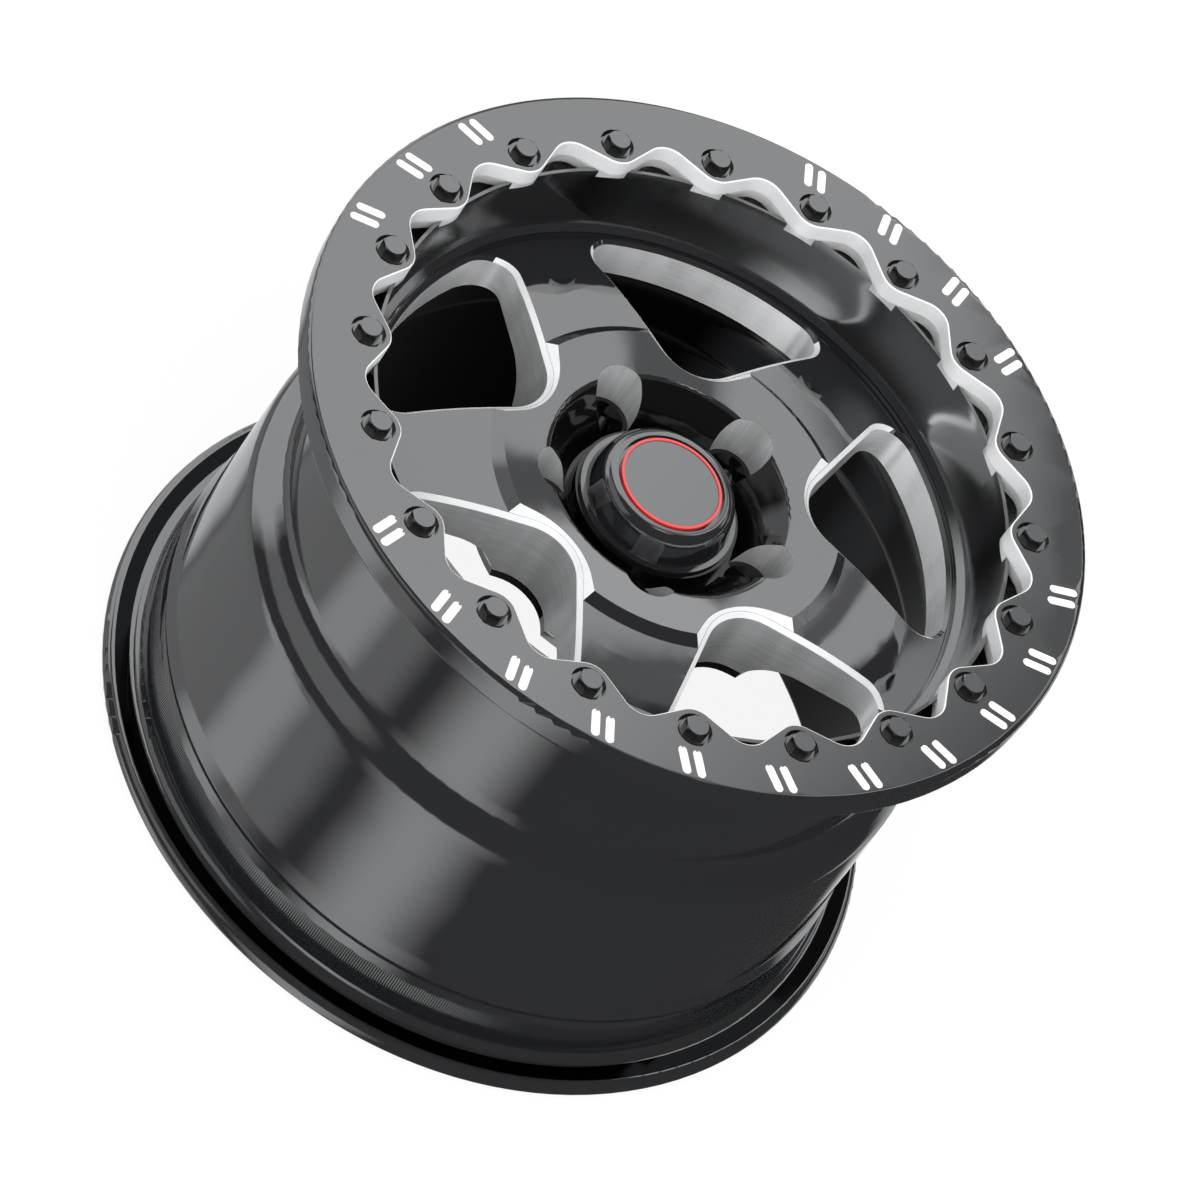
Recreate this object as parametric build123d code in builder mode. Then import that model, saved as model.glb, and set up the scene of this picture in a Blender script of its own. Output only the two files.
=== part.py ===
from build123d import *
from math import acos, atan2, cos, degrees, radians, sin, sqrt, tan
import os

os.makedirs("parts", exist_ok=True)

# A welded beadlock wheel for a 15 by 10 inch fitment, in millimetres.
# The hub pad lies on the plane z = 0 and +Z runs along the axle to the front.

# Main sizes: the front ring, the stud circle, and the reach to each side of the hub pad
ring_radius = 203.5
stud_circle = 57.15
face_height = 88.0
back_space = 186.0

# Ring bolts, and the scalloped inner edge that ring and flange share.
# A rise or an inset is measured from the size that it is taken from below.
bolt_count = 20
bolt_inset = 29.8
bolt_phase = 7.7
scallop_fall = 13.8
scallop_rise = 4.7
scallop_round = 12.0

# Beadlock ring
ring_plate = 9.5
ring_lip = 16.5
ring_front_round = 3.0
ring_edge_round = 0.8
ring_rear_round = 3.5
lip_wall = 13.5
register_gap = 0.4
bolt_seat_radius = 8.9
bolt_seat_depth = 2.6
bolt_hole_gap = 0.3
mark_inset = 11.3
mark_length = 15.0
mark_width = 4.4
mark_gap = 3.0
mark_depth = 0.8
mark_slant = 14.0
mark_pitch = 13.5
mark_angles = (170.8, 79.4, -51.0)
mark_counts = (3, 4, 11)

# Ring bolts and their washers
shank_radius = 3.175
shank_length = 21.6
head_flats = 10.8
head_height = 5.0
head_crown = 0.97
head_bevel_angle = 30.0
washer_radius = 7.4
washer_height = 1.6
washer_gap = 0.2
thread_gap = 0.1
thread_spare = 3.0

# Clamping flange at the front of the barrel
flange_round = 1.0
flange_seat = 16.5
flange_slope = 19.0
web_height = 5.5
web_step = 1.0
overhang = 1.5
rim_width = 1.8
rim_setback = 0.7
pocket_depth = 12.5

# Barrel: its bead seat at the rear, and how far the rest lies inside or outside that
wall = 5.3
barrel_round = 6.0
bead_rise = 0.5
bead_taper = 2.6
bead_length = 30.0
bead_corner = 6.0
hump_fall = 1.3
hump_length = 8.0
hump_round = 2.0
well_fall = 7.1
well_taper = 3.0
drum_fall = 21.6
drum_length = 74.0
step_length = 11.0
step_round = 14.0
rear_rise = 17.7
rear_thickness = 10.0
rear_round = 4.5
mouth_margin = 4.8
mouth_taper = 3.2
mouth_length = 38.6
ledge_width = 4.0
ledge_fall = 1.7
weld_width = 1.5
weld_depth = 2.5
valve_radius = 5.75
valve_inset = 11.0
valve_angle = 72.0

# Centre with its spokes, laid out from the stud circle
crown_height = 46.0
crown_fall = 10.4
crown_margin = 5.5
disc_rise = 4.0
disc_dish = 3.55
disc_width = 23.0
disc_land = 0.2
disc_inner_margin = 8.35
spoke_back = 20.3
back_blend = 30.0
pad_margin = 29.95
pad_blend = 22.0

# Stud holes, hub boss and the bowl round it
stud_count = 5
stud_radius = 7.6
stud_cone_radius = 11.2
stud_cone_angle = 60.0
stud_pocket_radius = 13.5
boss_margin = 0.65
boss_wall = 3.95
boss_height = 30.0
hub_chamfer = 1.2
hub_length = 18.0
cap_recess = 0.8
bowl_mid_margin = 2.85
bowl_mid_drop = 3.95
bowl_low_margin = 5.15
bowl_low_drop = 12.45
bowl_gap = 2.2
bowl_floor = 20.5
bowl_end_slope = 2.0

# Windows between the spokes
window_count = 5
window_margin = 2.7
window_corner = 14.1
window_spread = 19.75
window_web = 10.2
window_apex_radius = 24.1
window_chamfer = 2.3

# Centre cap with its trim ring and plain badge disc, each step inwards from the boss
cap_margin = 2.0
cap_base_height = 2.0
cap_step = 2.8
cap_taper = 2.6
cap_bevel_height = 12.7
cap_shoulder = 6.6
cap_top_height = 18.0
cap_lip = 1.0
cap_dish_depth = 2.4
cap_wall = 2.4
leg_count = 6
leg_gap = 0.25
leg_wall = 2.2
leg_length = 11.0
leg_slot = 9.0
trim_gap = 1.6
trim_width = 1.5
trim_height = 2.6
badge_gap = 0.1
badge_height = 2.2

# How far a cutting solid runs past what it cuts
slack = 1.0

# Radii of the ring and the flange, worked out from the sizes above
flange_radius = ring_radius - lip_wall - register_gap
bolt_circle = ring_radius - bolt_inset
scallop_inner = bolt_circle - scallop_fall
scallop_outer = bolt_circle + scallop_rise
mark_circle = ring_radius - mark_inset
blank_radius = scallop_inner + slack

# Radii of the barrel
bead_end_radius = flange_radius + bead_rise
bead_radius = bead_end_radius - bead_taper
hump_radius = bead_end_radius - hump_fall
well_radius = bead_end_radius - well_fall
well_end_radius = well_radius + well_taper
drum_radius = bead_end_radius - drum_fall
inner_drum = drum_radius - wall
rear_radius = bead_end_radius + rear_rise
mouth_radius = scallop_inner + mouth_margin
mouth_end_radius = mouth_radius - mouth_taper
ledge_radius = mouth_end_radius - ledge_width
centre_radius = ledge_radius - weld_width

# Levels from the ring's face down to the ledge and the well
flange_face = face_height - ring_plate
lip_back = face_height - ring_lip
bolt_seat = face_height - bolt_seat_depth
rim_top = flange_face - rim_setback
web_back = flange_face - web_height
pocket_floor = flange_face - pocket_depth
mouth_end = rim_top - mouth_length
ledge_height = mouth_end - ledge_fall
seat_back = flange_face - flange_seat
drum_start = seat_back - flange_slope
drum_end = drum_start - drum_length
well_start = drum_end - step_length
valve_height = drum_end + valve_inset

# Levels from the rear face up to the well
rear_face = -back_space
rear_inner = rear_face + rear_thickness
bead_start = rear_inner + bead_length
hump_end = bead_start + hump_length / 2
well_end = hump_end + hump_length

# Radii and levels of the centre, its bowl and its windows
centre_edge_height = crown_height - crown_fall
disc_height = crown_height + disc_rise
disc_inner_height = disc_height - disc_dish
disc_inner_radius = stud_circle + disc_inner_margin
disc_radius = disc_inner_radius + disc_width
crown_start = disc_radius + crown_margin
pad_radius = stud_circle + pad_margin
pad_centre = pad_radius + sqrt(pad_blend**2 - (pad_blend - spoke_back)**2)
boss_radius = stud_circle - stud_pocket_radius - boss_margin
hub_radius = boss_radius - boss_wall
recess_radius = hub_radius + cap_recess
bowl_radius = boss_radius + bowl_gap
window_start = 180.0 / window_count
window_arc = centre_radius - window_margin
window_apex = disc_inner_radius + window_web + window_apex_radius
window_rise = window_chamfer + disc_land

# Radii and levels of the cap
cap_base_radius = boss_radius - cap_margin
cap_neck_radius = cap_base_radius - cap_step
cap_bevel_radius = cap_neck_radius - cap_taper
cap_top_radius = cap_bevel_radius - cap_shoulder
cap_dish_radius = cap_top_radius - cap_lip
cap_edge = boss_height + cap_bevel_height
cap_top = boss_height + cap_top_height
cap_floor = cap_top - cap_dish_depth
leg_radius = recess_radius - leg_gap
trim_radius = cap_dish_radius - trim_gap


def arc_point(centre, radius, turn):
    # a point on a circle, at an angle in degrees
    return (centre[0] + radius * cos(radians(turn)), centre[1] + radius * sin(radians(turn)))


def scallop_face(reach):
    # the area inside the wavy edge: a star with rounded tips, moved outwards by reach
    points = []
    for step in range(bolt_count):
        turn = bolt_phase + step * 360.0 / bolt_count
        points.append(arc_point((0, 0), scallop_inner + reach, turn))
        points.append(arc_point((0, 0), scallop_outer + reach, turn + 180.0 / bolt_count))
    with BuildSketch() as area:
        with BuildLine():
            FilletPolyline(*points, radius=scallop_round, close=True)
        make_face()
    return area.sketch


def window_face(grow):
    # one window outline lying along +X, grown outwards by an even amount
    corner = arc_point((0, 0), window_arc - window_corner, window_spread)
    apex = (window_apex, 0)
    lean = degrees(atan2(corner[1], corner[0] - window_apex))
    reach = sqrt((corner[0] - window_apex)**2 + corner[1]**2)
    side = lean + degrees(acos((window_apex_radius - window_corner) / reach))
    line_start = arc_point(apex, window_apex_radius + grow, side)
    line_end = arc_point(corner, window_corner + grow, side)
    corner_mid = arc_point(corner, window_corner + grow, (side + window_spread) / 2)
    arc_start = arc_point((0, 0), window_arc + grow, window_spread)
    with BuildSketch() as area:
        with BuildLine():
            ThreePointArc((window_apex - window_apex_radius - grow, 0),
                          arc_point(apex, window_apex_radius + grow, (side + 180) / 2),
                          line_start)
            Line(line_start, line_end)
            ThreePointArc(line_end, corner_mid, arc_start)
            ThreePointArc(arc_start,
                          arc_point((0, 0), window_arc + grow, window_spread / 2),
                          (window_arc + grow, 0))
            mirror(about=Plane.XZ)
        make_face()
    return area.sketch


scallops = scallop_face(0.0)
web_scallops = scallop_face(web_step)
window = window_face(0.0)
flare_low = window_face(window_rise - slack)
flare_high = window_face(window_rise + disc_height - crown_height + slack)

# One window flared at 45 degrees, which cuts into the raised disc
with BuildPart() as window_flare:
    with BuildSketch(Plane.XY.offset(crown_height - slack)):
        add(flare_low)
    with BuildSketch(Plane.XY.offset(disc_height + slack)):
        add(flare_high)
    loft(ruled=True)

# Raised disc round the hub, with the windows breaking its edge
with BuildPart() as hub_disc:
    with BuildSketch(Plane.XZ):
        with BuildLine():
            Polyline(
                (stud_circle, crown_height - slack),
                (crown_start, crown_height - slack),
                (crown_start, crown_height),
                (disc_radius, disc_height),
                (disc_inner_radius, disc_inner_height),
                (stud_circle, disc_inner_height),
                close=True,
            )
        make_face()
    revolve(axis=Axis.Z)
    with PolarLocations(0, window_count, start_angle=window_start):
        add(window_flare.part, mode=Mode.SUBTRACT)

# The space in front of the hub bowl and round its boss
with BuildPart() as bowl_space:
    with BuildSketch(Plane.XZ):
        with BuildLine():
            Spline(
                (disc_inner_radius, disc_inner_height),
                (stud_circle + bowl_mid_margin, disc_inner_height - bowl_mid_drop),
                (stud_circle - bowl_low_margin, disc_inner_height - bowl_low_drop),
                (bowl_radius, bowl_floor),
                tangents=((-disc_width, -disc_dish), (-1, -bowl_end_slope)),
            )
            Polyline(
                (bowl_radius, bowl_floor),
                (boss_radius, bowl_floor),
                (boss_radius, boss_height),
                (0, boss_height),
                (0, disc_height + slack),
                (disc_inner_radius, disc_height + slack),
                (disc_inner_radius, disc_inner_height),
            )
        make_face()
    revolve(axis=Axis.Z)

# Wheel body: barrel, clamping flange and centre, welded into one.
# Each outside corner is its radius, its height and its rounding.
outside = (
    (mouth_radius, web_back, 0),
    (blank_radius, flange_face - overhang, 0),
    (blank_radius, flange_face, 0),
    (flange_radius, flange_face, flange_round),
    (flange_radius, seat_back, barrel_round),
    (drum_radius, drum_start, barrel_round),
    (drum_radius, drum_end, step_round),
    (well_radius, well_start, step_round),
    (well_end_radius, well_end, barrel_round),
    (hump_radius, hump_end, hump_round),
    (bead_radius, bead_start, hump_round),
    (bead_end_radius, rear_inner, bead_corner),
    (rear_radius, rear_inner, rear_round),
    (rear_radius, rear_face, rear_round),
    (bead_end_radius, rear_face, bead_corner),
    (bead_radius - wall, rear_inner, barrel_round),
    (well_end_radius - wall, well_end, barrel_round),
    (well_radius - wall, well_start, step_round),
    (inner_drum, drum_end - wall / 2, step_round),
    (inner_drum, spoke_back - back_blend, 0),
)
with BuildPart() as wheel_body:
    with BuildSketch(Plane.XZ):
        with BuildLine():
            FilletPolyline(
                [(radius, height) for radius, height, rounding in outside],
                radius=[rounding for radius, height, rounding in outside[1:-1]],
            )
            # back of the spokes and the hub pad
            blend = (inner_drum - back_blend, spoke_back - back_blend)
            ThreePointArc(
                arc_point(blend, back_blend, 0),
                arc_point(blend, back_blend, 45),
                arc_point(blend, back_blend, 90),
            )
            Line((inner_drum - back_blend, spoke_back), (pad_centre, spoke_back))
            ThreePointArc(
                (pad_centre, spoke_back),
                arc_point((pad_centre, spoke_back - pad_blend), pad_blend, 135),
                (pad_radius, 0),
            )
            Polyline(
                (pad_radius, 0),
                (hub_radius + hub_chamfer, 0),
                (hub_radius, hub_chamfer),
                (hub_radius, hub_length),
                (recess_radius, hub_length),
                (recess_radius, crown_height),
                (crown_start, crown_height),
            )
            # domed front of the spokes, weld groove, ledge and mouth
            TangentArc(
                (crown_start, crown_height), (centre_radius, centre_edge_height), tangent=(1, 0)
            )
            Polyline(
                (centre_radius, centre_edge_height),
                (centre_radius, ledge_height - weld_depth),
                (ledge_radius, ledge_height - weld_depth),
                (ledge_radius, ledge_height),
                (mouth_end_radius, mouth_end),
                (mouth_radius, web_back),
            )
        make_face()
    revolve(axis=Axis.Z)

    # windows, chamfered round the front
    with BuildSketch():
        with PolarLocations(0, window_count, start_angle=window_start):
            add(window)
    extrude(amount=face_height, mode=Mode.SUBTRACT)
    window_edges = edges(Select.LAST).filter_by(Axis.Z, reverse=True)
    chamfer(window_edges.filter_by_position(Axis.Z, (spoke_back + centre_edge_height) / 2,
                                            crown_height), window_chamfer)
    add(hub_disc.part)
    add(bowl_space.part, mode=Mode.SUBTRACT)

    # stud holes with conical seats, at the bottom of their pockets
    with Locations((0, 0, bowl_floor)):
        with PolarLocations(stud_circle, stud_count):
            CounterSinkHole(stud_radius, stud_cone_radius, counter_sink_angle=stud_cone_angle)
            Cylinder(stud_pocket_radius, face_height, align=(Align.CENTER, Align.CENTER, Align.MIN),
                     mode=Mode.SUBTRACT)

    # scalloped opening of the flange, the lip rim and the pockets behind it
    with BuildSketch(Plane.XY.offset(rim_top)):
        add(scallops)
    extrude(amount=face_height, mode=Mode.SUBTRACT)
    with BuildSketch(Plane.XY.offset(web_back)):
        Circle(mouth_radius)
        add(scallops, mode=Mode.INTERSECT)
    extrude(amount=face_height, mode=Mode.SUBTRACT)
    with BuildSketch(Plane.XY.offset(web_back)):
        add(scallops)
        Circle(mouth_radius + rim_width, mode=Mode.SUBTRACT)
    extrude(amount=face_height, mode=Mode.SUBTRACT)
    with BuildSketch(Plane.XY.offset(web_back)):
        add(web_scallops)
        Circle(mouth_radius + rim_width, mode=Mode.SUBTRACT)
    extrude(amount=pocket_floor - web_back, mode=Mode.SUBTRACT)

    # tapped holes for the ring bolts
    thread_depth = shank_length - washer_height - ring_plate + bolt_seat_depth + thread_spare
    with Locations((0, 0, flange_face)):
        with PolarLocations(bolt_circle, bolt_count, start_angle=bolt_phase):
            Hole(shank_radius + thread_gap, depth=thread_depth)

    # valve hole through the drum, behind a spoke
    valve_plane = Plane(origin=(0, 0, valve_height),
                        z_dir=(cos(radians(valve_angle)), sin(radians(valve_angle)), 0))
    with BuildSketch(valve_plane.offset(inner_drum - wall)):
        Circle(valve_radius)
    extrude(amount=3 * wall, mode=Mode.SUBTRACT)
wheel_body.part.label = "wheel_body"

# Beadlock ring, clamped on the flange
with BuildPart() as beadlock_ring:
    with BuildSketch(Plane.XZ):
        with BuildLine():
            FilletPolyline(
                (blank_radius, flange_face),
                (flange_radius + register_gap, flange_face),
                (flange_radius + register_gap, lip_back),
                (ring_radius, lip_back),
                (ring_radius, face_height),
                (blank_radius, face_height),
                radius=(0, 0, ring_rear_round, ring_front_round),
            )
            Line((blank_radius, face_height), (blank_radius, flange_face))
        make_face()
    revolve(axis=Axis.Z)
    with BuildSketch(Plane.XY.offset(flange_face - slack)):
        add(scallops)
    extrude(amount=face_height, mode=Mode.SUBTRACT)
    fillet(edges(Select.LAST).group_by(Axis.Z)[-1], ring_edge_round)
    with Locations((0, 0, face_height)):
        with PolarLocations(bolt_circle, bolt_count, start_angle=bolt_phase):
            CounterBoreHole(shank_radius + bolt_hole_gap, bolt_seat_radius, bolt_seat_depth)

    # plain milled bars round the face
    with BuildSketch(Plane.XY.offset(face_height)):
        for middle, count in zip(mark_angles, mark_counts):
            first = middle - mark_pitch * (count - 1) / 2
            with PolarLocations(mark_circle, count, start_angle=first,
                                angular_range=mark_pitch * count):
                with GridLocations(0, mark_width + mark_gap, 1, 2):
                    SlotOverall(mark_length, mark_width, rotation=mark_slant)
    extrude(amount=-mark_depth, mode=Mode.SUBTRACT)
beadlock_ring.part.label = "beadlock_ring"

# One ring bolt, with the underside of its head at z = 0
with BuildPart() as bolt:
    with BuildSketch():
        RegularPolygon(head_flats / 2, 6, major_radius=False)
    extrude(amount=head_height)
    crown = head_crown * head_flats / 2
    Cone(crown + head_height / tan(radians(head_bevel_angle)), crown, head_height,
         align=(Align.CENTER, Align.CENTER, Align.MIN), mode=Mode.INTERSECT)
    Cylinder(shank_radius, shank_length, align=(Align.CENTER, Align.CENTER, Align.MAX))

with BuildPart() as beadlock_bolts:
    with Locations((0, 0, bolt_seat + washer_height)):
        with PolarLocations(bolt_circle, bolt_count, start_angle=bolt_phase):
            add(bolt.part)
beadlock_bolts.part.label = "beadlock_bolts"

with BuildPart() as beadlock_washers:
    with BuildSketch(Plane.XY.offset(bolt_seat)):
        with PolarLocations(bolt_circle, bolt_count, start_angle=bolt_phase):
            Circle(washer_radius)
            Circle(shank_radius + washer_gap, mode=Mode.SUBTRACT)
    extrude(amount=washer_height)
beadlock_washers.part.label = "beadlock_washers"

# Centre cap: a thin cover on the boss, with legs that grip the bore
with BuildPart() as centre_cap:
    with BuildSketch(Plane.XZ):
        with BuildLine():
            Polyline(
                (cap_base_radius, boss_height),
                (cap_base_radius, boss_height + cap_base_height),
                (cap_neck_radius, boss_height + cap_base_height),
                (cap_bevel_radius, cap_edge),
            )
            TangentArc((cap_top_radius, cap_top), (cap_bevel_radius, cap_edge), tangent=(1, 0))
            Polyline(
                (cap_top_radius, cap_top),
                (cap_dish_radius, cap_top),
                (cap_dish_radius, cap_floor),
                (0, cap_floor),
                (0, cap_floor - cap_wall),
                (cap_top_radius - cap_wall, cap_floor - cap_wall),
                (cap_bevel_radius - cap_wall, cap_edge - cap_wall / 2),
                (leg_radius - leg_wall, boss_height),
                (cap_base_radius, boss_height),
            )
        make_face()
    revolve(axis=Axis.Z)
    with BuildSketch(Plane.XY.offset(boss_height)):
        Circle(leg_radius)
        Circle(leg_radius - leg_wall, mode=Mode.SUBTRACT)
        with PolarLocations(leg_radius, leg_count):
            Rectangle(2 * leg_wall + slack, leg_slot, mode=Mode.SUBTRACT)
    extrude(amount=-leg_length)
centre_cap.part.label = "centre_cap"

with BuildPart() as cap_trim_ring:
    with BuildSketch(Plane.XY.offset(cap_floor)):
        Circle(trim_radius)
        Circle(trim_radius - trim_width, mode=Mode.SUBTRACT)
    extrude(amount=trim_height)
cap_trim_ring.part.label = "cap_trim_ring"

with BuildPart() as cap_badge:
    with BuildSketch(Plane.XY.offset(cap_floor)):
        Circle(trim_radius - trim_width - badge_gap)
    extrude(amount=badge_height)
cap_badge.part.label = "cap_badge"

export_step(wheel_body.part, "parts/wheel_body.step")
export_step(beadlock_ring.part, "parts/beadlock_ring.step")
export_step(beadlock_bolts.part, "parts/beadlock_bolts.step")
export_step(beadlock_washers.part, "parts/beadlock_washers.step")
export_step(centre_cap.part, "parts/centre_cap.step")
export_step(cap_trim_ring.part, "parts/cap_trim_ring.step")
export_step(cap_badge.part, "parts/cap_badge.step")
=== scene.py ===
# Beadlock wheel on a white studio floor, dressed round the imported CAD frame
import bpy
import numpy as np
from mathutils import Matrix, Vector


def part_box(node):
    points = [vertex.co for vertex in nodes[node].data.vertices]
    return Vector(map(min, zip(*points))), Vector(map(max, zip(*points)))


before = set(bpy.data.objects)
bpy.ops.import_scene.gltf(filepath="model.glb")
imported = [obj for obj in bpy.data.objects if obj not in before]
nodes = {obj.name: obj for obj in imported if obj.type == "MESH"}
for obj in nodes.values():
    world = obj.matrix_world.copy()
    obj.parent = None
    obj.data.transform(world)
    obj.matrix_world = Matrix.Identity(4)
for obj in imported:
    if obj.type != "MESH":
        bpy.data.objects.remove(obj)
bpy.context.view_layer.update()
mm = 0.001
print("frame loaded:", ", ".join(sorted(nodes)))


# A number or vector socket in a node tree. Sums on it add their Math nodes.
class Wire:
    def __init__(self, tree, socket):
        self.tree = tree
        self.socket = socket

    def math(self, operation, *values):
        node = self.tree.nodes.new("ShaderNodeMath")
        node.operation = operation
        for place, item in enumerate(values):
            if isinstance(item, Wire):
                self.tree.links.new(item.socket, node.inputs[place])
            else:
                node.inputs[place].default_value = item
        return Wire(self.tree, node.outputs[0])

    def __add__(self, other):
        return self.math("ADD", self, other)

    __radd__ = __add__

    def __sub__(self, other):
        return self.math("SUBTRACT", self, other)

    def __rsub__(self, other):
        return self.math("SUBTRACT", other, self)

    def __mul__(self, other):
        return self.math("MULTIPLY", self, other)

    __rmul__ = __mul__

    def __truediv__(self, other):
        return self.math("DIVIDE", self, other)

    def __rtruediv__(self, other):
        return self.math("DIVIDE", other, self)

    def __pow__(self, other):
        return self.math("POWER", self, other)

    def __abs__(self):
        return self.math("ABSOLUTE", self)

    def least(self, other):
        return self.math("MINIMUM", self, other)

    def most(self, other):
        return self.math("MAXIMUM", self, other)

    def above(self, other):
        return self.math("GREATER_THAN", self, other)

    def between(self, low, high):
        return self.above(low) * (1.0 - self.above(high))

    def wrap(self, half):
        return self.math("WRAP", self, half, -half)


# The node tree of a material or of the world
class Graph:
    def __init__(self, owner):
        owner.use_nodes = True
        self.tree = owner.node_tree
        self.tree.nodes.clear()

    def node(self, kind, settings=None, **sockets):
        # settings first, then the sockets: their names take _ for a space, or n and an index
        made = self.tree.nodes.new("ShaderNode" + kind)
        for name, value in (settings or {}).items():
            setattr(made, name, value)
        for name, value in sockets.items():
            key = int(name[1:]) if name[0] == "n" and name[1:].isdigit() else name.replace("_", " ")
            if isinstance(value, Wire):
                self.tree.links.new(value.socket, made.inputs[key])
            else:
                made.inputs[key].default_value = value
        return made

    def out(self, made, name=0):
        return Wire(self.tree, made.outputs[name])

    def wire(self, kind, output=0, settings=None, **sockets):
        return self.out(self.node(kind, settings, **sockets), output)

    def xyz(self, vector):
        split = self.node("SeparateXYZ", Vector=vector)
        return [self.out(split, axis) for axis in range(3)]

    def ease(self, value, start, end):
        # 0 at start and 1 at end, with a soft step between them
        return self.wire("MapRange", settings={"interpolation_type": "SMOOTHSTEP"},
                         Value=value, From_Min=float(start), From_Max=float(end))

    def blend(self, share, first, second):
        # a colour between two, each a tuple or a link
        return self.wire("Mix", 2, settings={"data_type": "RGBA"}, n0=share, n6=first, n7=second)

    def grey(self, value, tint):
        # a number as a colour, with a little less or more of each channel
        red, green, blue = [value * part for part in tint]
        return self.wire("CombineColor", Red=red, Green=green, Blue=blue)


# Smooth shading between sharp edges, as live modifiers on the untouched CAD mesh. Angles in degrees:
# an edge that folds more stays sharp.
shading = {"weld": 0.002 * mm, "sharpFrom": 22, "roundSharpFrom": 36, "evenWeight": 60}


def softEdges():
    # a group that shades smooth every edge that folds less than the given angle
    group = bpy.data.node_groups.new("softEdges", "GeometryNodeTree")
    group.interface.new_socket("Geometry", in_out="INPUT", socket_type="NodeSocketGeometry")
    group.interface.new_socket("Angle", in_out="INPUT", socket_type="NodeSocketFloat")
    group.interface.new_socket("Geometry", in_out="OUTPUT", socket_type="NodeSocketGeometry")
    start = group.nodes.new("NodeGroupInput")
    end = group.nodes.new("NodeGroupOutput")
    fold = group.nodes.new("GeometryNodeInputMeshEdgeAngle")
    less = group.nodes.new("FunctionNodeCompare")
    less.operation = "LESS_THAN"
    faces = group.nodes.new("GeometryNodeSetShadeSmooth")
    faces.domain = "FACE"
    edges = group.nodes.new("GeometryNodeSetShadeSmooth")
    edges.domain = "EDGE"
    join = group.links.new
    join(fold.outputs["Unsigned Angle"], less.inputs[0])
    join(start.outputs["Angle"], less.inputs[1])
    join(start.outputs["Geometry"], faces.inputs["Geometry"])
    join(faces.outputs["Geometry"], edges.inputs["Geometry"])
    join(less.outputs[0], edges.inputs["Shade Smooth"])
    join(edges.outputs["Geometry"], end.inputs[0])
    return group


softGroup = softEdges()


def dress(name, material, sharpFrom=shading["sharpFrom"]):
    item = nodes[name]
    item.data.materials.clear()
    item.data.materials.append(material)
    weld = item.modifiers.new("weld", "WELD")
    weld.merge_threshold = shading["weld"]
    soften = item.modifiers.new("softEdges", "NODES")
    soften.node_group = softGroup
    soften["Socket_1"] = float(np.radians(sharpFrom))
    even = item.modifiers.new("even", "WEIGHTED_NORMAL")
    even.keep_sharp = True
    even.weight = shading["evenWeight"]


# Finishes that the pieces share. In blackCoat, peel is the faint ripple of the coat and edge the
# radius to which sharp edges are rounded. In bareMetal, lines are the cutter's and bands are
# broader; a grey is its least value, then what the bands and the lines add. The rim light is a
# painted highlight: between its two radii the bare walls' grey rises by its last value.
blackCoat = {"colour": (0.012, 0.0125, 0.0135, 1), "rough": 0.05, "ior": 2.06, "peelScale": 260.0,
             "peelHeight": 0.02 * mm, "peelStrength": 0.05, "edge": 0.3 * mm, "edgeSamples": 3}
bareMetal = {"tint": (0.995, 1.0, 1.005), "lineScale": 1500.0, "lineStretch": 0.03,
             "bandScale": 75.0, "bandStretch": 0.15, "contrast": (0.3, 0.7),
             "lineHeight": 0.01 * mm, "lineStrength": 0.25, "passesFrom": 71.5 * mm,
             "wallGrey": (0.56, 0.16, 0.14), "brightGrey": (0.9, 0.04, 0.04),
             "paintedRimLight": (115.0 * mm, 145.0 * mm, 0.26), "metal": 0.4, "rough": (0.3, 0.08)}
polishedMetal = {"colour": (0.62, 0.625, 0.632, 1), "rough": 0.15}


def lathe(graph, place):
    # distance from the wheel's axis, angle round it, and height
    x, y, z = graph.xyz(place)
    return (x * x + y * y) ** 0.5, y.math("ARCTAN2", y, x), z


def band(value, span):
    # 1 between two lengths in mm, and 0 outside them
    return value.between(span[0] * mm, span[1] * mm)


def holeDistance(radius, angle, circle, count, phase):
    # distance to the nearest of the holes on a circle, by the law of cosines
    turn = (angle - np.radians(phase)).wrap(np.pi / count)
    across = radius * radius + circle ** 2 - 2 * circle * radius * turn.math("COSINE", turn)
    return across.most(0.0) ** 0.5


def trueFacing(graph, place):
    # how far the true face looks away from the axle, times the distance to it, and how far up it looks
    x, y, z = graph.xyz(place)
    across, along, up = graph.xyz(graph.wire("NewGeometry", "True Normal"))
    return x * across + y * along, up


def millLines(graph, place, radius):
    # cutter lines round the windows, lines along the axle in the stud pockets, and broader bands
    # that run along the axle in both
    thin = bareMetal["lineStretch"]
    passes = graph.wire("Mapping", Vector=place, Scale=(thin, thin, 1))
    strokes = graph.wire("Mapping", Vector=place, Scale=(1, 1, thin))
    outside = radius.above(bareMetal["passesFrom"])
    drawn = graph.wire("Mix", 1, settings={"data_type": "VECTOR"}, n0=outside, n4=strokes, n5=passes)
    lines = graph.wire("TexNoise", "Fac", Vector=drawn, Scale=bareMetal["lineScale"], Detail=2.0)
    wide = graph.wire("Mapping", Vector=place, Scale=(1, 1, bareMetal["bandStretch"]))
    bands = graph.wire("TexNoise", "Fac", Vector=wide, Scale=bareMetal["bandScale"], Detail=1.0)
    low, high = bareMetal["contrast"]
    return graph.ease(lines, low, high), graph.ease(bands, low, high)


def bareColour(graph, radius, bright, lines, bands):
    # grey of the bare walls, with a painted highlight that makes them lighter towards the rim, and of the
    # bright edges
    least, fromBands, fromLines = bareMetal["wallGrey"]
    start, end, rimLight = bareMetal["paintedRimLight"]
    wall = least + fromBands * bands + fromLines * lines + rimLight * graph.ease(radius, start, end)
    least, fromBands, fromLines = bareMetal["brightGrey"]
    edge = least + fromBands * bands + fromLines * lines
    return graph.blend(bright, graph.grey(wall, bareMetal["tint"]), graph.grey(edge, bareMetal["tint"]))


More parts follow.
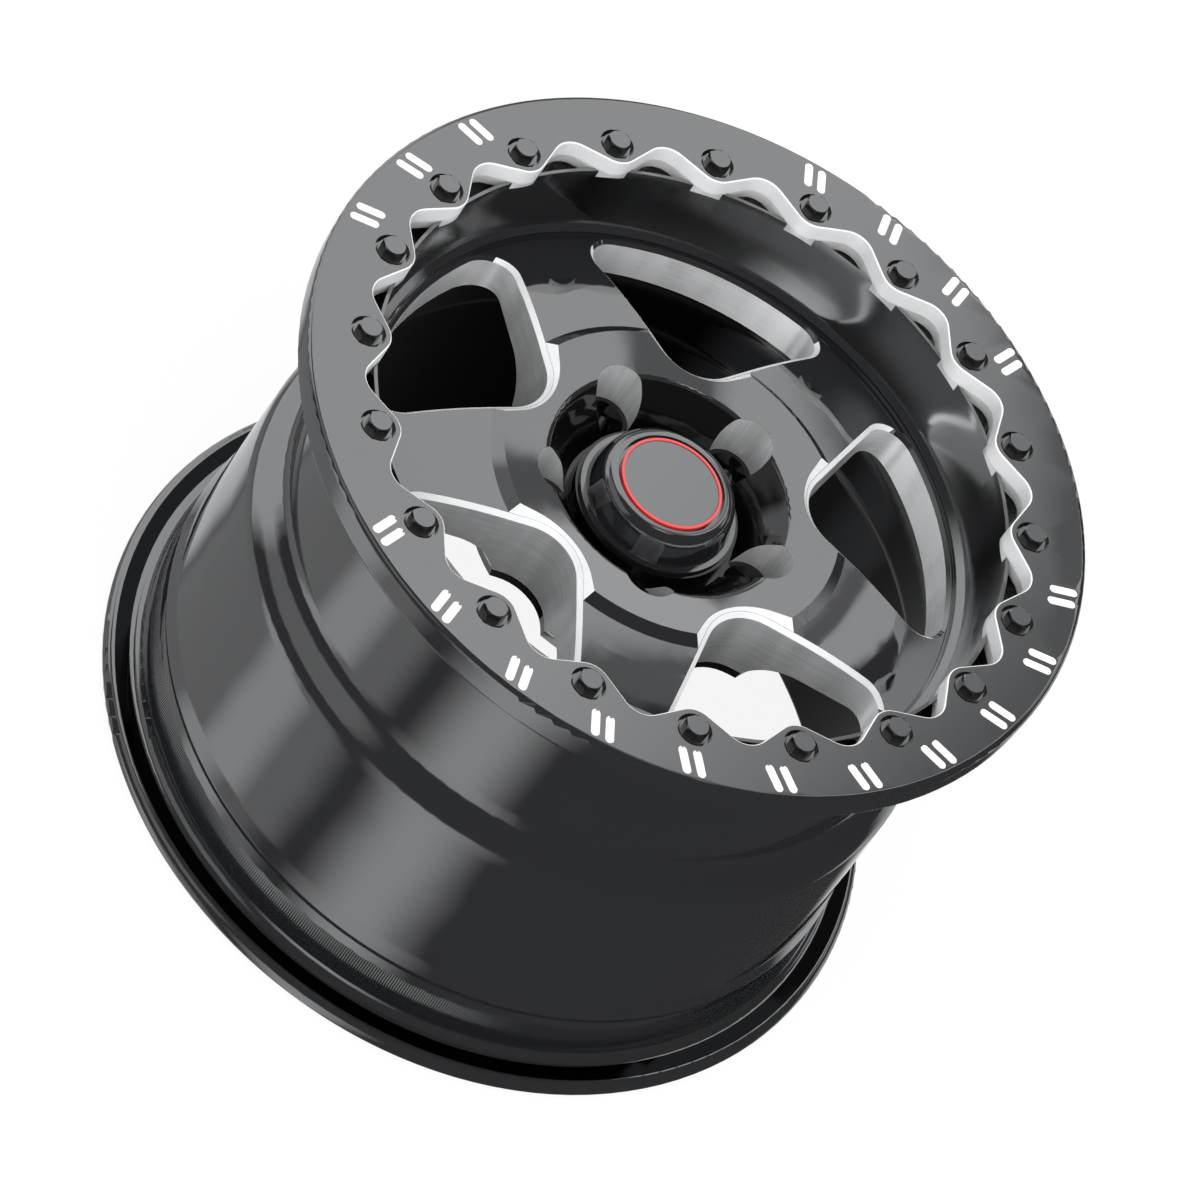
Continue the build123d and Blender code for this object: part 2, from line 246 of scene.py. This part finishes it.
def coated(name, coat=blackCoat, cuts=None, ridges=None, paintedShade=None):
    # Gloss black coat. Cuts gives the masks of the bare metal: walls, bright edges and polished
    # wall. Ridges gives the height of a rolled pattern, from 0 to 1. The last argument masks faces that
    # get painted shade: the black coat turns metallic there, so they reflect less and look darker.
    made = bpy.data.materials.new(name)
    graph = Graph(made)
    place = graph.wire("TexCoord", "Object")
    ripple = graph.wire("TexNoise", "Fac", Vector=place, Scale=coat["peelScale"], Detail=2.0)
    colour, rough, metal = coat["colour"], coat["rough"], 0.0
    facing = graph.wire("Bump", Height=ripple, Distance=coat["peelHeight"], Strength=coat["peelStrength"])
    if coat["edge"]:
        rounded = graph.wire("Bevel", settings={"samples": coat["edgeSamples"]}, Radius=coat["edge"])
        graph.tree.links.new(rounded.socket, facing.socket.node.inputs["Normal"])
    if ridges:
        facing = graph.wire("Bump", Height=ridges(graph, place), Distance=knurl["height"],
                            Strength=knurl["strength"], Normal=facing)
    if cuts:
        radius, angle, height = lathe(graph, place)
        walls, bright, polished = cuts(graph, place)
        lines, bands = millLines(graph, place, radius)
        cut = (walls + bright).least(1.0)
        # painted shade: where this mask is on, the black coat turns metallic and reflects less
        thin = paintedShade(graph, place) if paintedShade else 0.0
        colour = graph.blend(polished, coat["colour"], polishedMetal["colour"])
        colour = graph.blend(cut, colour, bareColour(graph, radius, bright, lines, bands))
        metal = walls * bareMetal["metal"] + polished.most(thin * (1.0 - cut))
        least, fromLines = bareMetal["rough"]
        rough = (coat["rough"] + (least + fromLines * lines - coat["rough"]) * cut
                 + (polishedMetal["rough"] - coat["rough"]) * polished)
        facing = graph.wire("Bump", Height=lines * cut, Distance=bareMetal["lineHeight"],
                            Strength=bareMetal["lineStrength"], Normal=facing)
    body = graph.node("BsdfPrincipled", Base_Color=colour, Metallic=metal, Roughness=rough,
                      IOR=coat["ior"], Specular_IOR_Level=1.0, Normal=facing)
    graph.node("OutputMaterial", Surface=graph.out(body))
    return made


# Where the body is bare, and where its reflection is darkened as painted shade: spans of radius and
# height in mm, and how steep a wall is, as how far up its face may look
windowCut = {"walls": (69.0, 155.5), "from": 5.0, "steep": 0.04, "chamfers": (68.5, 155.5),
             "chamferFrom": 28.0, "chamferUp": (0.64, 0.78)}
studCut = {"circle": 57.15, "studs": 5, "wall": (12.9, 13.6), "from": 20.6}
flangeCut = {"heights": (72.0, 79.0), "radii": (158.0, 180.0), "lipRim": (164.7, 166.5), "reach": 0.4,
             "straight": 0.99}
mouthWall = {"radii": (158.0, 166.0), "from": 39.0, "steep": 0.2}
recessShade = {"bowl": (27.0, 71.5), "bowlTop": 45.5, "bowlShare": 0.75, "barrelFrom": 156.0,
            "barrelTop": 12.0}
knurl = {"heights": (-164.4, -151.4), "from": 188.0, "ridges": 900, "height": 0.2 * mm, "strength": 0.8}


def lipRim(radius, outward):
    # the two round walls of the lip rim, which face straight to or from the axle
    straight = abs(outward / radius).above(flangeCut["straight"])
    inner, outer = flangeCut["lipRim"]
    near = abs(radius - inner * mm).least(abs(radius - outer * mm))
    return straight * (1.0 - near.above(flangeCut["reach"] * mm))


def bodyCuts(graph, place):
    # window walls, stud pockets and the flange's wavy wall, then the chamfers, then the mouth's wall
    radius, angle, height = lathe(graph, place)
    outward, up = trueFacing(graph, place)
    steep = 1.0 - abs(up).above(windowCut["steep"])
    windows = steep * band(radius, windowCut["walls"]) * height.above(windowCut["from"] * mm)
    studs = holeDistance(radius, angle, studCut["circle"] * mm, studCut["studs"], 0.0)
    pockets = steep * band(studs, studCut["wall"]) * height.above(studCut["from"] * mm)
    web = steep * band(height, flangeCut["heights"]) * band(radius, flangeCut["radii"])
    web = web * (1.0 - lipRim(radius, outward))
    bevels = up.between(*windowCut["chamferUp"]) * band(radius, windowCut["chamfers"])
    bevels = bevels * height.above(windowCut["chamferFrom"] * mm)
    mouth = band(radius, mouthWall["radii"]) * height.above(mouthWall["from"] * mm)
    mouth = mouth * (1.0 - abs(up).above(mouthWall["steep"]))
    return (windows + pockets + web).least(1.0), bevels, mouth * (1.0 - web)


def knurled(graph, place):
    # fine ridges along the axle on the rear bead seat
    radius, angle, height = lathe(graph, place)
    turn = angle * (knurl["ridges"] / 2)
    ridge = abs(turn.math("SINE", turn))
    return ridge * band(height, knurl["heights"]) * radius.above(knurl["from"] * mm)


def shadeRecesses(graph, place):
    # painted shade in the hub bowl under the cap and on the barrel's inner face, as a black coat that
    # reflects less
    radius, angle, height = lathe(graph, place)
    outward, up = trueFacing(graph, place)
    bowl = band(radius, recessShade["bowl"]) * (1.0 - height.above(recessShade["bowlTop"] * mm))
    barrel = (1.0 - outward.above(0.0)) * radius.above(recessShade["barrelFrom"] * mm)
    barrel = barrel * (1.0 - height.above(recessShade["barrelTop"] * mm))
    return (bowl * recessShade["bowlShare"]).most(barrel)


# The clamping ring: its wavy inner wall and its milled bars are bare, and its counterbores aren't
ringCut = {"boltCircle": 173.7, "bolts": 20, "boltPhase": 7.7, "counterbore": 9.1, "wave": (150.0, 180.0),
           "waveUp": 0.98, "bars": (185.0, 200.3), "barFloor": (86.5, 87.98)}


def ringCuts(graph, place):
    radius, angle, height = lathe(graph, place)
    outward, up = trueFacing(graph, place)
    holes = holeDistance(radius, angle, ringCut["boltCircle"] * mm, ringCut["bolts"], ringCut["boltPhase"])
    clear = holes.above(ringCut["counterbore"] * mm)
    wave = (1.0 - abs(up).above(ringCut["waveUp"])) * band(radius, ringCut["wave"]) * clear
    bars = band(radius, ringCut["bars"]) * band(height, ringCut["barFloor"])
    nowhere = wave * 0.0
    return nowhere, (wave + bars).least(1.0), nowhere


# Each node's coat, as what differs from the shared one
coats = {"ring": dict(blackCoat, edge=0),
         "bolt": dict(blackCoat, rough=0.14, edge=0),
         "washer": dict(blackCoat, colour=(0.02, 0.02, 0.02, 1), rough=0.22, ior=2.1),
         "cap": dict(blackCoat, rough=0.07),
         "badge": dict(blackCoat, colour=(0.03, 0.03, 0.031, 1), rough=0.2, ior=2.15),
         "trim": dict(blackCoat, colour=(0.72, 0.035, 0.03, 1), rough=0.2, ior=1.7)}

dress("wheel_body", coated("glossBlackBody", cuts=bodyCuts, ridges=knurled, paintedShade=shadeRecesses))
dress("beadlock_ring", coated("glossBlackRing", coats["ring"], cuts=ringCuts))
dress("beadlock_bolts", coated("boltBlack", coats["bolt"]))
dress("beadlock_washers", coated("washerBlack", coats["washer"]))
dress("centre_cap", coated("capBlack", coats["cap"]), shading["roundSharpFrom"])
dress("cap_badge", coated("badgeGrey", coats["badge"]))
dress("cap_trim_ring", coated("trimRed", coats["trim"]))
print("nodes dressed")

# Studio lamps that the gloss shows, as soft boxes. Azimuth with its reach and soft edge to each side
# and height with its rise and fade are in degrees, and level is how bright a box is beside the white
# background. studioDark is the level between them, and studioTint turns all light slightly blue.
studioDark = 0.05
studioTint = (0.985, 1.0, 1.015)
studio = {
    "overhead": dict(azimuth=116, reach=25, edge=10, height=50, rise=14, fade=6, level=1.0),
    "overheadSide": dict(azimuth=80, reach=8, edge=8, height=51, rise=15, fade=7, level=0.26),
    "discCard": dict(azimuth=74, reach=5, edge=3, height=46, rise=9, fade=3, level=0.95),
    "farLow": dict(azimuth=92, reach=6, edge=4, height=26, rise=7, fade=5, level=1.2),
    "farGlow": dict(azimuth=100, reach=18, edge=6, height=20, rise=14, fade=6, level=0.22),
    "leftWall": dict(azimuth=148, reach=23, edge=16, height=14, rise=20, fade=10, level=0.95),
    "leftHigh": dict(azimuth=200, reach=30, edge=20, height=45, rise=12, fade=12, level=0.33),
    "rightSide": dict(azimuth=57, reach=4, edge=4, height=34, rise=3, fade=3, level=0.72),
    "horizon": dict(azimuth=68, reach=24, edge=12, height=-18, rise=20, fade=8, level=0.8),
    "topRight": dict(azimuth=58, reach=8, edge=8, height=75, rise=4, fade=3, level=1.0),
    "underBack": dict(azimuth=103, reach=25, edge=18, height=-60, rise=44, fade=10, level=0.85),
    "underLeft": dict(azimuth=207, reach=4, edge=20, height=-60, rise=42, fade=10, level=0.74),
    "underFill": dict(azimuth=188, reach=42, edge=16, height=-60, rise=42, fade=10, level=0.33),
    "underNear": dict(azimuth=270, reach=2, edge=26, height=-50, rise=55, fade=12, level=0.78),
}


def softBox(graph, azimuth, height, box):
    # brightness of one lamp: full inside its reach, and eased to nothing over its edge
    aside = abs((azimuth - float(box["azimuth"])).wrap(180.0))
    sides = graph.ease(aside, box["reach"] + box["edge"], box["reach"])
    over = abs(height - float(box["height"]))
    return sides * graph.ease(over, box["rise"] + box["fade"], box["rise"]) * box["level"]


def lightStudio():
    # a white world, and in its place the soft boxes where the gloss shows it
    world = bpy.data.worlds.new("studio")
    bpy.context.scene.world = world
    graph = Graph(world)
    x, y, z = graph.xyz(graph.wire("TexCoord", "Generated"))
    azimuth = y.math("ARCTAN2", y, x) * (180 / np.pi)
    height = z.math("ARCSINE", z) * (180 / np.pi)
    boxes = studioDark
    for box in studio.values():
        boxes = softBox(graph, azimuth, height, box).most(boxes)
    path = graph.node("LightPath")
    gloss = graph.out(path, "Is Glossy Ray")
    level = 1.0 - gloss + gloss * boxes
    light = graph.node("Background", Color=graph.grey(level, studioTint))
    graph.node("OutputWorld", Surface=graph.out(light))


lightStudio()

# Broad front lamp for the bare metal, from the camera's side and above; the gloss doesn't show it
frontLamp = {"from": (0.2, -1.0, 1.1), "strength": 1.9, "angle": 70.0}


def hangLamp():
    lamp = bpy.data.lights.new("frontLamp", "SUN")
    lamp.energy = frontLamp["strength"]
    lamp.angle = float(np.radians(frontLamp["angle"]))
    item = bpy.data.objects.new("frontLamp", lamp)
    bpy.context.scene.collection.objects.link(item)
    item.matrix_world = Vector(frontLamp["from"]).to_track_quat("Z", "Y").to_matrix().to_4x4()
    item.visible_glossy = False


hangLamp()

# White floor just under the rear flange, which keeps a faint shadow of the wheel
floorSheet = {"side": 14.0, "gap": 0.2 * mm, "shadow": 0.1, "paper": (0.92, 0.92, 0.92, 1)}


def layFloor():
    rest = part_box("wheel_body")[0][2]
    bpy.ops.mesh.primitive_plane_add(size=floorSheet["side"], location=(0, 0, rest - floorSheet["gap"]))
    floor = bpy.context.object
    floor.name = "studioFloor"
    made = bpy.data.materials.new("paper")
    graph = Graph(made)
    path = graph.node("LightPath")
    seen = (graph.out(path, "Is Camera Ray") + graph.out(path, "Is Glossy Ray")
            + graph.out(path, "Is Transmission Ray")).least(1.0)
    sheet = graph.node("BsdfDiffuse", Color=floorSheet["paper"])
    glow = graph.node("Emission", Color=(1, 1, 1, 1), Strength=1.0)
    both = graph.node("MixShader", n0=seen * (1.0 - floorSheet["shadow"]), n1=graph.out(sheet),
                      n2=graph.out(glow))
    graph.node("OutputMaterial", Surface=graph.out(both))
    floor.data.materials.append(made)
    floor.visible_glossy = False


layFloor()
print("studio lit")

# Camera of the photo
view = {"lens": 182.0, "sensor": 36.0, "place": (0.00194, -2.02422, 2.15230),
        "aim": (0.00505, -0.12621, 0.088), "roll": 36.28}


def setCamera():
    lens = bpy.data.cameras.new("camera")
    lens.lens = view["lens"]
    lens.sensor_width = view["sensor"]
    lens.clip_end = 30
    item = bpy.data.objects.new("camera", lens)
    bpy.context.scene.collection.objects.link(item)
    place = Vector(view["place"])
    turn = (Vector(view["aim"]) - place).to_track_quat("-Z", "Y").to_matrix().to_4x4()
    item.matrix_world = Matrix.Translation(place) @ turn @ Matrix.Rotation(np.radians(view["roll"]), 4, "Z")
    bpy.context.scene.camera = item


setCamera()
bpy.context.scene.view_settings.view_transform = "Standard"
print("camera set")
